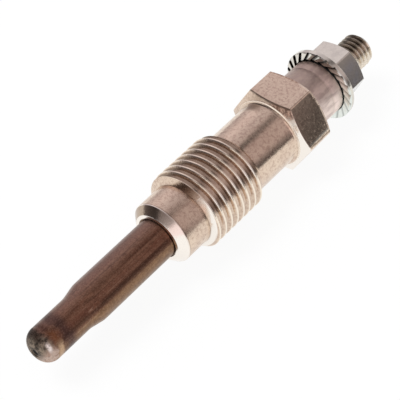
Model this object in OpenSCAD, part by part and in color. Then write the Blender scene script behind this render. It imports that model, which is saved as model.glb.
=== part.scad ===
// Diesel glow plug lying on its side, tip towards -X and terminal stud towards +X.
// A threaded housing holds a sheathed heater at one end and an insulated stud at the other.
// Every piece is turned about one axis. Stations along it are measured from the front edge
// of the mounting thread, positive towards the stud, and lay_down() sets the axis level.

/* [Heater sheath] */
// Outside diameter of the sheath where it leaves the housing
sheath_d = 6; // [5.6:0.1:6.4]
// Length of full-diameter sheath that stands out of the housing
sheath_reach = 13.55; // [8:0.05:24]
// Length of the taper down to the slimmer tip
taper_len = 2.2; // [1:0.1:4]
// Outside diameter of the swaged tip
tip_d = 5.1; // [4.8:0.1:5.5]
// Length of the tip, from the taper to the closed end
tip_len = 7.8; // [5:0.1:12]
// Radius that rounds the closed end
tip_round = 1.9; // [1:0.1:2.2]
// Width of the weld dimple in the closed end
dimple_d = 1.6; // [0.8:0.1:2]
// Depth of the weld dimple
dimple_depth = 0.2; // [0.1:0.05:0.4]
// Wall of the sheath
sheath_wall = 0.65; // [0.5:0.05:0.8]
// Thickness of the closed end
tip_wall = 1.2; // [1:0.1:2]
// Length of sheath pressed into the housing
sheath_grip = 14.5; // [11:0.5:18]

/* [Heating element] */
// Diameter of both coils, measured across the middle of the wire
coil_d = 2.6; // [2.2:0.1:2.7]
// Wire of the heating coil
heating_wire_d = 0.4; // [0.3:0.05:0.5]
// Pitch of the heating coil
heating_pitch = 0.8; // [0.6:0.05:1]
// Turns of the heating coil
heating_turns = 14; // [8:1:18]
// Wire of the control coil
control_wire_d = 0.35; // [0.25:0.05:0.45]
// Pitch of the control coil
control_pitch = 0.65; // [0.55:0.05:0.8]
// Turns of the control coil
control_turns = 14; // [8:1:18]
// Turns of the control coil that are wound onto the end of the rod
lap_turns = 3; // [2:1:5]

/* [Sheath seal] */
// Length of the soft plug in the open end of the sheath
sheath_seal_len = 4; // [2:0.5:6]

/* [Housing nose and thread] */
// Diameter of the nose
nose_d = 9.5; // [9:0.1:10]
// Length of the nose, from its face to the front edge of the thread
nose_len = 5.25; // [3:0.05:8]
// Diameter of the flat face on the nose
nose_face_d = 7.3; // [7:0.1:8.4]
// Included angle of the conical seat round that face
seat_angle = 95; // [60:1:120]
// Gap round the sheath in the mouth of the bore
mouth_gap = 0.2; // [0.1:0.01:0.25]
// Depth of that gap
mouth_depth = 1; // [0.5:0.1:2]
// Major diameter of the mounting thread
thread_d = 12; // [11:0.5:14]
// Length of the mounting thread
thread_len = 10.65; // [8:0.05:14]
// Slope of the lead-in at the front of the thread
thread_lead_angle = 70; // [35:1:80]
// Chamfer on the rear edge of the thread
thread_chamfer = 1; // [0.1:0.05:1]

/* [Housing shank, hexagon and collar] */
// Diameter of the shank
shank_d = 9.9; // [9:0.1:10.4]
// Length of the shank
shank_len = 8.01; // [5:0.01:30]
// Diameter of the turned shoulder in front of the hexagon
shoulder_d = 10.74; // [10.5:0.02:11.4]
// Height of that shoulder
shoulder_h = 0.24; // [0.1:0.02:0.6]
// Hexagon across its flats
hex_af = 11.9; // [11.6:0.1:14]
// Length of the hexagon, with its chamfers
hex_len = 5.55; // [4:0.05:9]
// Slope of the chamfer on the front of the hexagon
hex_front_angle = 19; // [10:1:35]
// Diameter of the flat face on the rear of the hexagon
hex_rear_d = 11.2; // [10:0.1:11.5]
// Slope of the chamfer on the rear of the hexagon
hex_rear_angle = 25; // [10:1:35]
// Diameter of the collar behind the hexagon
collar_d = 8.74; // [8.4:0.02:9.6]
// Length of the collar
collar_len = 5.8; // [4:0.1:12]
// Rounding of the collar's end
lip_round = 0.2; // [0.1:0.05:0.3]
// Distance of the crimp mark from the collar's end
crimp_back = 1.85; // [0.8:0.05:3]
// Radius of the roll that leaves the crimp mark
crimp_roll = 0.8; // [0.4:0.1:1.5]
// Depth of the crimp mark
crimp_depth = 0.08; // [0.04:0.02:0.2]
// Bore round the rod inside the shank
rod_bore_d = 5.3; // [5:0.1:5.5]
// Bore for the seal ring and the bush in the collar
seal_bore_d = 6.6; // [6.2:0.1:7]

/* [Terminal] */
// Diameter of the rod inside the sheath
rod_core_d = 3; // [2.6:0.1:3.3]
// Diameter of the rod inside the housing
rod_d = 4.2; // [3.8:0.1:4.4]
// Length of the step between those two diameters
rod_step_len = 1; // [0.5:0.1:3]
// Distance of that step past the end of the sheath
rod_step_gap = 0.6; // [0.2:0.1:2]
// Major diameter of the stud
stud_d = 5; // [4.8:0.1:5.6]
// Pitch of the stud's thread
stud_pitch = 0.8; // [0.5:0.05:0.9]
// Length of stud past the nut
stud_reach = 5; // [3:0.1:12]
// Chamfer on the end of the stud
stud_chamfer = 0.55; // [0.2:0.05:0.8]
// Diameter of the bush's washer
bush_d = 8.2; // [7.4:0.1:8.3]
// Thickness of the bush's washer
bush_t = 0.35; // [0.3:0.05:1.5]
// Length of the bush's sleeve inside the collar
bush_sleeve_len = 2.4; // [1.5:0.1:3]

/* [Flange nut] */
// Nut across its flats
nut_af = 8; // [7.4:0.1:9]
// Height of the nut, from its seat to its top
nut_h = 4.9; // [3.5:0.05:7]
// Diameter of the flange
flange_d = 11.3; // [10.6:0.1:12]
// Thickness of the flange at its rim, above the seat
flange_rim = 0.55; // [0.3:0.05:1]
// Slope of the flange's upper face
flange_angle = 27; // [15:1:35]
// Slope of the chamfer on the top of the nut
nut_chamfer_angle = 28; // [15:1:35]
// Diameter of the flat face on the top of the nut
nut_face_d = 7.4; // [6.4:0.1:7.4]
// Countersink at the top of the nut's bore
nut_sink = 0.35; // [0.2:0.05:0.5]
// Gap between the bush's washer and the ring of serrations round it
tooth_gap = 0.1; // [0.05:0.05:0.4]
// Number of serrations
tooth_count = 22; // [12:1:30]
// Depth of the serrations
tooth_depth = 0.28; // [0.15:0.01:0.3]
// Height of the serrations' roots above the nut's seat
tooth_root = 0.03; // [0.02:0.01:0.1]
// Width of each groove, measured where the serrations end
groove_w = 0.6; // [0.4:0.05:1.1]
// Slant of the serrations at the rim, away from straight outwards
tooth_slant = 42; // [0:1:45]
// Turn of the nut about the axis, away from level flats
nut_turn = -3.8; // [-30:0.1:30]

/* [Fits] */
// Gap left between pieces that are pressed, packed or moulded together
fit_gap = 0.02; // [0.01:0.005:0.04]

/* [Hidden] */
$fn = 96;

// Sides of the coils' wire, and steps in each of their turns
wire_sides = 6;
turn_steps = 12;
// Amount by which a cutting shape runs past the face that it cuts
overcut = 1;

// Radii
sheath_r = sheath_d / 2;
tip_r = tip_d / 2;
sheath_bore_r = sheath_r - sheath_wall;
tip_bore_r = tip_r - sheath_wall;
coil_r = coil_d / 2;
nose_r = nose_d / 2;
nose_face_r = nose_face_d / 2;
thread_r = thread_d / 2;
shank_r = shank_d / 2;
shoulder_r = shoulder_d / 2;
hex_corner_r = hex_af / 2 / cos(30);
hex_rear_r = hex_rear_d / 2;
collar_r = collar_d / 2;
rod_r = rod_d / 2;
rod_core_r = rod_core_d / 2;
seal_bore_r = seal_bore_d / 2;
stud_r = stud_d / 2;
flange_r = flange_d / 2;
nut_corner_r = nut_af / 2 / cos(30);
nut_face_r = nut_face_d / 2;
tooth_ring_r = bush_d / 2 + tooth_gap;

// The flat floor of the sheath is as wide as the coil that stands on it
floor_chamfer = tip_bore_r - coil_r - heating_wire_d / 2 - fit_gap;
// Nut and stud bear at the pitch line, three eighths of a sharp 60 degree thread below the crest
engaged_r = stud_r - 3 / 8 * stud_pitch * cos(30);
// The rod's end fits inside the flat-sided turns of the control coil
rod_end_r = (coil_r - control_wire_d / 2) * cos(180 / turn_steps) - fit_gap;
// The seal ring fills the space between the rod and its bore
ring_d = seal_bore_r - rod_r - 2 * fit_gap;

// Stations of the sheath
nose_face = -nose_len;
taper_rear = nose_face - sheath_reach;
taper_front = taper_rear - taper_len;
tip_end = taper_front - tip_len;
cavity_floor = tip_end + tip_wall;
sheath_end = nose_face + sheath_grip;
seal_front = sheath_end - sheath_seal_len;

// Stations of the housing
seat_rear = nose_face + (nose_r - nose_face_r) / tan(seat_angle / 2);
lead_rear = (thread_r - nose_r) / tan(thread_lead_angle);
shoulder_face = thread_len + shank_len;
hex_front = shoulder_face + shoulder_h;
hex_rear = hex_front + hex_len;
collar_end = hex_rear + collar_len;
sleeve_front = collar_end - bush_sleeve_len;
seal_seat = sleeve_front - ring_d - 2 * fit_gap;

// Stations of the coils and the terminal
heating_front = cavity_floor + heating_wire_d / 2 + fit_gap;
joint_station = heating_front + heating_turns * heating_pitch;
control_rear = joint_station + control_turns * control_pitch;
rod_front = control_rear - lap_turns * control_pitch;
core_front = control_rear + control_wire_d;
rod_step = sheath_end + rod_step_gap;
nut_seat = collar_end + bush_t;
nut_top = nut_seat + nut_h;
stud_end = nut_top + stud_reach;

// The plug lies level on whichever of its rounds is widest
axis_height = max(thread_r, hex_af / 2, flange_r);
middle_station = (tip_end + stud_end) / 2;

// Turns the upright axis level and sets the plug on the ground, centred along X
module lay_down() {
    translate([-middle_station, 0, axis_height]) rotate([0, 90, 0]) children();
}

// Hexagonal prism with flats towards local +X, so that a flat is on top once laid down
module hex_prism(across_flats, height) {
    rotate(30) linear_extrude(height) circle(d = across_flats / cos(30), $fn = 6);
}

// Wire wound into a helix: one ring of points for each step, in planes through the axis
module coil(front, turns, pitch, wire_r, start_turn = 0) {
    steps = turns * turn_steps;
    last = steps * wire_sides;
    points = [
        for (i = [0 : steps], k = [0 : wire_sides - 1])
            let (turn = 360 * (start_turn + i / turn_steps),
                 side = 360 * k / wire_sides,
                 r = coil_r + wire_r * cos(side))
            [r * cos(turn), r * sin(turn), front + pitch * i / turn_steps + wire_r * sin(side)]
    ];
    walls = [
        for (i = [0 : steps - 1], k = [0 : wire_sides - 1])
            let (a = i * wire_sides + k,
                 b = i * wire_sides + (k + 1) % wire_sides)
            each [[a, b, a + wire_sides], [b, b + wire_sides, a + wire_sides]]
    ];
    caps = [
        [for (k = [wire_sides - 1 : -1 : 0]) k],
        [for (k = [0 : wire_sides - 1]) last + k]
    ];
    polyhedron(points, concat(walls, caps));
}

module heating_wire(gap = 0) {
    coil(heating_front, heating_turns, heating_pitch, heating_wire_d / 2 + gap);
}

module control_wire(gap = 0) {
    coil(joint_station, control_turns, control_pitch, control_wire_d / 2 + gap, heating_turns);
}

// Inside of the sheath as a half section, drawn in by a gap for what is packed in it
module sheath_cavity_section(rear, gap = 0) {
    polygon([
        [0, cavity_floor + gap],
        [tip_bore_r - floor_chamfer - gap, cavity_floor + gap],
        [tip_bore_r - gap, cavity_floor + floor_chamfer + gap],
        [tip_bore_r - gap, taper_front],
        [sheath_bore_r - gap, taper_rear],
        [sheath_bore_r - gap, rear],
        [0, rear]
    ]);
}

// Outside of the sheath as a half section, with its rounded and dimpled end
module sheath_outer_section() {
    dimple_r = dimple_d / 2;
    dimple_ball = (dimple_r * dimple_r / dimple_depth + dimple_depth) / 2;
    difference() {
        union() {
            intersection() {
                translate([tip_r - tip_round, tip_end + tip_round]) circle(tip_round);
                translate([0, tip_end]) square([tip_r, tip_round]);
            }
            translate([0, tip_end]) square([tip_r - tip_round, tip_round]);
            polygon([
                [0, tip_end + tip_round],
                [tip_r, tip_end + tip_round],
                [tip_r, taper_front],
                [sheath_r, taper_rear],
                [sheath_r, sheath_end],
                [0, sheath_end]
            ]);
        }
        translate([0, tip_end + dimple_depth - dimple_ball]) circle(dimple_ball);
    }
}

// Turned outside of the housing as a half section, without its hexagon
module housing_turned_section() {
    fillet = shoulder_r - shank_r;
    polygon([
        [0, nose_face],
        [nose_face_r, nose_face],
        [nose_r, seat_rear],
        [nose_r, 0],
        [thread_r, lead_rear],
        [thread_r, thread_len - thread_chamfer],
        [thread_r - thread_chamfer, thread_len],
        [shank_r, thread_len],
        [shank_r, hex_rear],
        [0, hex_rear]
    ]);
    difference() {
        translate([0, shoulder_face - fillet]) square([shoulder_r, fillet + shoulder_h]);
        translate([shoulder_r, shoulder_face - fillet]) circle(fillet);
    }
    collar_section();
}

// Collar as a half section, with its rounded end and the crimp mark rolled into it
module collar_section() {
    difference() {
        union() {
            translate([0, hex_rear]) square([collar_r, collar_len - lip_round]);
            translate([0, hex_rear]) square([collar_r - lip_round, collar_len]);
            translate([collar_r - lip_round, collar_end - lip_round]) circle(lip_round);
        }
        translate([collar_r - crimp_depth + crimp_roll, collar_end - crimp_back]) circle(crimp_roll);
    }
}

// Stepped bore of the housing as a half section
module housing_bore_section() {
    polygon([
        [0, nose_face - overcut],
        [sheath_r + mouth_gap, nose_face - overcut],
        [sheath_r + mouth_gap, nose_face + mouth_depth],
        [sheath_r + fit_gap, nose_face + mouth_depth],
        [sheath_r + fit_gap, sheath_end],
        [rod_bore_d / 2, sheath_end],
        [rod_bore_d / 2, seal_seat],
        [seal_bore_r, seal_seat],
        [seal_bore_r, collar_end + overcut],
        [0, collar_end + overcut]
    ]);
}

// Cones that take the corners off the housing's hexagon, as a half section
module hex_chamfer_section() {
    front_drop = (hex_corner_r - shoulder_r) * tan(hex_front_angle);
    rear_drop = (hex_corner_r - hex_rear_r) * tan(hex_rear_angle);
    polygon([
        [0, hex_front],
        [shoulder_r, hex_front],
        [hex_corner_r, hex_front + front_drop],
        [hex_corner_r, hex_rear - rear_drop],
        [hex_rear_r, hex_rear],
        [0, hex_rear]
    ]);
}

// Turned outside of the nut as a half section: flange, cone and chamfered top
module nut_section() {
    rim_top = nut_seat + flange_rim;
    cone_rise = (flange_r - engaged_r) * tan(flange_angle);
    tooth_tip = nut_seat - tooth_depth;
    polygon([
        [0, nut_seat],
        [tooth_ring_r, nut_seat],
        [tooth_ring_r + tooth_depth, tooth_tip],
        [flange_r - tooth_depth / 2, tooth_tip],
        [flange_r, tooth_tip + tooth_depth / 2],
        [flange_r, rim_top],
        [engaged_r, rim_top + cone_rise],
        [0, rim_top + cone_rise]
    ]);
}

// Cone that takes the corners off the top of the nut, as a half section
module nut_chamfer_section() {
    drop = (nut_corner_r - nut_face_r) * tan(nut_chamfer_angle);
    polygon([
        [0, nut_seat],
        [nut_corner_r, nut_seat],
        [nut_corner_r, nut_top - drop],
        [nut_face_r, nut_top],
        [0, nut_top]
    ]);
}

// One groove of the serrations: a ramp with a steep back, slanting outwards past the rim
// from the place where its line comes nearest to the axis
module tooth_groove() {
    ramp = groove_w / (tooth_depth - tooth_root);
    run = flange_r * cos(tooth_slant);
    translate([flange_r, 0, nut_seat - tooth_root]) rotate(tooth_slant) translate([-run, 0, 0])
        rotate([90, 0, 90]) linear_extrude(run + overcut)
            polygon([[0, 0], [0, -2 * tooth_depth], [2 * tooth_depth * ramp, -2 * tooth_depth]]);
}

module housing() {
    color([0.80, 0.72, 0.68]) lay_down() difference() {
        union() {
            rotate_extrude() housing_turned_section();
            intersection() {
                translate([0, 0, hex_front]) hex_prism(hex_af, hex_len);
                rotate_extrude() hex_chamfer_section();
            }
        }
        rotate_extrude() housing_bore_section();
    }
}

module heater_sheath() {
    color([0.34, 0.25, 0.21]) lay_down() rotate_extrude() difference() {
        sheath_outer_section();
        sheath_cavity_section(sheath_end + overcut);
    }
}

module heating_coil() {
    color([0.62, 0.56, 0.50]) lay_down() heating_wire();
}

module control_coil() {
    color([0.70, 0.66, 0.58]) lay_down() control_wire();
}

module magnesia_filling() {
    color([0.93, 0.92, 0.88]) lay_down() difference() {
        rotate_extrude() difference() {
            sheath_cavity_section(seal_front, fit_gap);
            // Space of the rod: within the coil's turns, and then along the rod's core
            translate([0, rod_front]) square([coil_r, core_front - rod_front]);
            translate([0, core_front]) square([rod_core_r + fit_gap, seal_front - core_front + overcut]);
        }
        heating_wire(fit_gap);
        control_wire(fit_gap);
    }
}

module sheath_seal() {
    color([0.16, 0.16, 0.17]) lay_down() rotate_extrude()
        translate([rod_core_r + fit_gap, seal_front])
            square([sheath_bore_r - rod_core_r - 2 * fit_gap, sheath_seal_len]);
}

module terminal_rod() {
    color([0.52, 0.48, 0.42]) lay_down() rotate_extrude() polygon([
        [0, rod_front],
        [rod_end_r, rod_front],
        [rod_end_r, core_front],
        [rod_core_r, core_front],
        [rod_core_r, rod_step],
        [rod_r, rod_step + rod_step_len],
        [rod_r, nut_seat],
        [engaged_r, nut_seat],
        [engaged_r, nut_top],
        [stud_r, nut_top],
        [stud_r, stud_end - stud_chamfer],
        [stud_r - stud_chamfer, stud_end],
        [0, stud_end]
    ]);
}

module seal_ring() {
    color([0.10, 0.10, 0.11]) lay_down() rotate_extrude()
        translate([(rod_r + seal_bore_r) / 2, seal_seat + ring_d / 2 + fit_gap]) circle(d = ring_d);
}

module insulating_bush() {
    bore_r = rod_r + fit_gap;
    color([0.07, 0.07, 0.08]) lay_down() rotate_extrude() {
        translate([bore_r, collar_end]) square([bush_d / 2 - bore_r, bush_t]);
        translate([bore_r, sleeve_front]) square([seal_bore_r - fit_gap - bore_r, bush_sleeve_len]);
    }
}

module flange_nut() {
    bore_r = engaged_r + fit_gap;
    color([0.74, 0.77, 0.78]) lay_down() rotate(nut_turn) difference() {
        union() {
            rotate_extrude() nut_section();
            intersection() {
                translate([0, 0, nut_seat + flange_rim]) hex_prism(nut_af, nut_h);
                rotate_extrude() nut_chamfer_section();
            }
        }
        translate([0, 0, nut_seat - overcut]) cylinder(r = bore_r, h = nut_h + 2 * overcut);
        translate([0, 0, nut_top - nut_sink]) cylinder(r1 = bore_r, r2 = bore_r + nut_sink, h = nut_sink);
        for (i = [0 : tooth_count - 1]) rotate(360 * i / tooth_count) tooth_groove();
    }
}

housing();
heater_sheath();
heating_coil();
control_coil();
magnesia_filling();
sheath_seal();
terminal_rod();
seal_ring();
insulating_bush();
flange_nut();
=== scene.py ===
# Visual model of a diesel glow plug that lies on a pale bench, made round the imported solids.
# Shapes are worked out in millimetres: x runs along the axis from the heater's tip to the stud,
# r is the distance from the axis, and angles turn about the axis from +Y towards +Z.
import math

import bmesh
import bpy
import numpy as np
from mathutils import Matrix, Vector


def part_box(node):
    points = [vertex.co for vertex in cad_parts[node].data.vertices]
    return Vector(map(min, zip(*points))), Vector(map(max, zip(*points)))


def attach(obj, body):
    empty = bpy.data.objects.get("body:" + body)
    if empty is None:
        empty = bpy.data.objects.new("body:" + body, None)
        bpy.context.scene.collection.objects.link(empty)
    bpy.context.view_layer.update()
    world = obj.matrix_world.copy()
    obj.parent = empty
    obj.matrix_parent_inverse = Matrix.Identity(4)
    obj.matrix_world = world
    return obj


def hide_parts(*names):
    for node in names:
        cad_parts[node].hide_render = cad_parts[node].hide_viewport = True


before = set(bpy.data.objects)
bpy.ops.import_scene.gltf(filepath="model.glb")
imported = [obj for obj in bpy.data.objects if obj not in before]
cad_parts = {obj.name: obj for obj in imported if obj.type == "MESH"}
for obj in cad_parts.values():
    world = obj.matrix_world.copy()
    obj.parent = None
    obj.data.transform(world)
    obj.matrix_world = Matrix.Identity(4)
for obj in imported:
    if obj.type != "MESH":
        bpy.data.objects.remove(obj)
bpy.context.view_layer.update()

MM = 0.001


def span(node):
    """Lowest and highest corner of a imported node, in millimetres."""
    low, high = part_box(node)
    return low / MM, high / MM


housing_low, housing_high = span("housing")
sheath_low, sheath_high = span("heater_sheath")
rod_low, rod_high = span("terminal_rod")
bush_low, bush_high = span("insulating_bush")
nut_low, nut_high = span("flange_nut")
ring_low, _ = span("seal_ring")
coil_low, coil_high = span("control_coil")
AXIS_HEIGHT = (housing_low.z + housing_high.z) / 2

# Housing
FIT_GAP = 0.02
NOSE_LEN = 5.25
NOSE_R = 4.75
NOSE_FACE_R = 3.65
NOSE_FACE_ROUND = 0.08
SEAT_HALF_ANGLE = math.radians(47.5)
SEAT_ROUND = 0.2
MOUTH_GAP = 0.2
MOUTH_DEPTH = 1.0
THREAD_R = (housing_high.z - housing_low.z) / 2
THREAD_LEN = 10.65
THREAD_PITCH = 1.25
THREAD_CREST_W = 0.2
THREAD_DEPTH = 0.45
THREAD_FIRST_CREST = 0.0
THREAD_LEAD_ANGLE = math.radians(75)
THREAD_CHAMFER = 1.0
THREAD_FILLET = 0.12
SHANK_R = 4.95
SHANK_LEN = 8.01
SHOULDER_R = 5.37
SHOULDER_H = 0.24
SHOULDER_ROUND = 0.1
SHOULDER_FILLET = 0.05
SHANK_FILLET_ANGLES = (-90, -10)
HEX_AF = 11.9
HEX_CORNER_ROUND = 0.3
HEX_WORN_ROUND = 0.8
HEX_EDGE_ROUND = 0.1
HEX_FRONT_ANGLE = math.radians(19)
HEX_REAR_R = 5.6
HEX_REAR_ANGLE = math.radians(25)
HEX_REAR_ROUND = 0.06
COLLAR_R = 4.37
COLLAR_LEN = 5.8
COLLAR_FILLET = 0.12
LIP_ROUND = 0.2
CRIMP_BACK = 1.85
CRIMP_ROLL = 0.8
CRIMP_DEPTH = 0.08
ROD_BORE_R = 2.65
SEAL_BORE_R = 3.3

nose_face = housing_low.x
seat_rear = nose_face + (NOSE_R - NOSE_FACE_R) / math.tan(SEAT_HALF_ANGLE)
thread_front = nose_face + NOSE_LEN
thread_rear = thread_front + THREAD_LEN
shoulder_face = thread_rear + SHANK_LEN
hex_front = shoulder_face + SHOULDER_H
collar_end = housing_high.x
hex_rear = collar_end - COLLAR_LEN
seal_seat = ring_low.x - FIT_GAP

# Heater sheath
SHEATH_R = 3.0
TIP_R = 2.55
TIP_LEN = 7.8
TAPER_LEN = 2.2
TAPER_ROUND = 4.0
TIP_ROUND = 1.9
TIP_ROUND_STEPS = 14
TIP_WALL = 1.2
DIMPLE_R = 0.8
DIMPLE_DEPTH = 0.2
SHEATH_WALL = 0.65
SHEATH_END_ROUND = 0.1
FLOOR_CHAMFER = 0.38

tip_end = sheath_low.x
taper_front = tip_end + TIP_LEN
taper_rear = taper_front + TAPER_LEN
sheath_end = sheath_high.x

# Terminal rod: the nut engages its thread at the pitch diameter, and the gap from the control coil
# to its core is a share of the coil's diameter
STUD_R = 2.5
STUD_PITCH = 0.8
STUD_CREST_W = 0.12
STUD_DEPTH = 0.46
STUD_FIRST_CREST = -0.2
STUD_CHAMFER = 0.55
ENGAGED_R = STUD_R - 3 / 8 * STUD_PITCH * math.cos(math.radians(30))
ROD_R = 2.1
ROD_CORE_R = 1.5
ROD_CORE_ROUND = 0.05
ROD_CORE_GAP_SHARE = 1 / 16
ROD_END_R = 1.07
ROD_END_ROUND = 0.1
ROD_STEP_GAP = 0.6
ROD_STEP_LEN = 1.0
ROD_STEP_ROUND = 0.2

# Bush and nut
BUSH_R = 4.1
BUSH_ROUND = 0.06
BUSH_SLEEVE_ROUND = 0.1
NUT_AF = 8.0
NUT_CORNER_ROUND = 0.22
NUT_TURN = -3.8
NUT_SINK = 0.35
NUT_SINK_ROUND = 0.04
NUT_FACE_R = 3.7
NUT_CHAMFER_ANGLE = math.radians(28)
NUT_EDGE_ROUND = 0.08
FLANGE_R = 5.65
FLANGE_RIM = 0.55
FLANGE_ANGLE = math.radians(27)
FLANGE_ROUND = 0.12
TOOTH_RING_R = 4.2
TOOTH_COUNT = 22
TOOTH_ROOT = 0.03
TOOTH_ROUND = 0.04
TOOTH_SLANT = math.radians(42)
GROOVE_W = 0.6

nut_seat = bush_high.x
nut_top = nut_high.x
tooth_tip = nut_low.x
stud_end = rod_high.x

# Columns of points round each piece, with extra ones beside corners and teeth, in degrees
HOUSING_COLUMNS = 192
SHEATH_COLUMNS = 160
ROD_COLUMNS = 144
BUSH_COLUMNS = 96
NUT_COLUMNS = 72
HEX_CORNERS = np.arange(0, 360, 60)
BESIDE_HEX_CORNER = (-1.3, -0.8, -0.4, 0.4, 0.8, 1.3)
BESIDE_NUT_CORNER = (-1.5, -0.9, -0.4, 0, 0.4, 0.9, 1.5)
BEHIND_TOOTH_WALL = (-0.15, 0.15, 4, 8.2, 12)

# Fall of a 60 degree thread's flanks, for each millimetre along the axis
FLANK_FALL = math.sqrt(3)
# Halvings that find where a thread comes out of its lead-in
HALVINGS = 24
# Share of an edge that the rounding at one end may take
MOST_OF_EDGE = 0.48
# Points that fall together, and edges too short to keep
MERGE_DISTANCE = 0.0005
THIN_DISTANCE = 0.0001
# Edges sharper than this stay sharp in a smooth mesh
SHARP_ANGLE = math.radians(32)


def soft_ramp(height, softness):
    """Zero below zero and the height itself above it, with a round bend between."""
    bend = (height + softness) ** 2 / (4 * softness)
    return np.where(np.abs(height) < softness, bend, np.maximum(height, 0))


class ThreadForm:
    """Form of a 60 degree thread with a flat crest and root."""

    SOFTNESS = 0.045

    def __init__(self, pitch, crest_r, crest_w, depth):
        self.pitch = pitch
        self.crest_r = crest_r
        self.crest_w = crest_w
        self.depth = depth

    def radius(self, along):
        """Radius at a distance along the axis, counted from the middle of a crest."""
        off_crest = np.abs(along - np.round(along / self.pitch) * self.pitch)
        drop = (off_crest - self.crest_w / 2) * FLANK_FALL
        floor = soft_ramp(drop - self.depth, self.SOFTNESS)
        return self.crest_r - soft_ramp(drop, self.SOFTNESS) + floor

    def steps(self):
        """Places within one pitch that get a row of points."""
        crest, bend = self.crest_w / 2, self.SOFTNESS
        root = crest + self.depth / FLANK_FALL
        bends = (crest - bend, crest, crest + bend, (crest + root) / 2, root - bend, root, root + bend)
        half = (0,) + bends
        return half + (self.pitch / 2,) + tuple(self.pitch - step for step in reversed(half[1:]))


MOUNTING_THREAD = ThreadForm(THREAD_PITCH, THREAD_R, THREAD_CREST_W, THREAD_DEPTH)
STUD_THREAD = ThreadForm(STUD_PITCH, STUD_R, STUD_CREST_W, STUD_DEPTH)


def hexagon_radius(angles, across_flats, corner_round, turn=0.0):
    """Distance from the axis to a hexagon with rounded corners, its flat on top unless turned."""
    flat = across_flats / 2
    sixth = math.pi / 3
    from_flat = np.abs((angles - turn) % sixth - sixth / 2)
    from_corner = sixth / 2 - from_flat
    centre = (flat - corner_round) / math.cos(sixth / 2)
    tangent = np.arctan((flat - corner_round) * math.tan(sixth / 2) / flat)
    across = np.maximum(corner_round ** 2 - (centre * np.sin(from_corner)) ** 2, 0)
    rounded = centre * np.cos(from_corner) + np.sqrt(across)
    return np.where(from_flat < tangent, flat / np.cos(from_flat), rounded)


def arc(centre_x, centre_r, radius, start, end, steps=8):
    """Corners of an outline along an arc, with its angles in degrees from +x towards +r."""
    turns = np.radians(np.linspace(start, end, steps + 1))
    return [(centre_x + radius * math.cos(a), centre_r + radius * math.sin(a), 0) for a in turns]


def beside(places, offsets):
    """Angles at each of the offsets from each of the places, in degrees."""
    return [(place + offset) % 360 for place in places for offset in offsets]


def column_angles(count, extra=()):
    """Even columns round the axis and extra ones, from degrees to radians."""
    even = np.arange(count) * 360 / count
    return np.radians(np.unique(np.round(np.concatenate([even, extra]), 3)))


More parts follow.
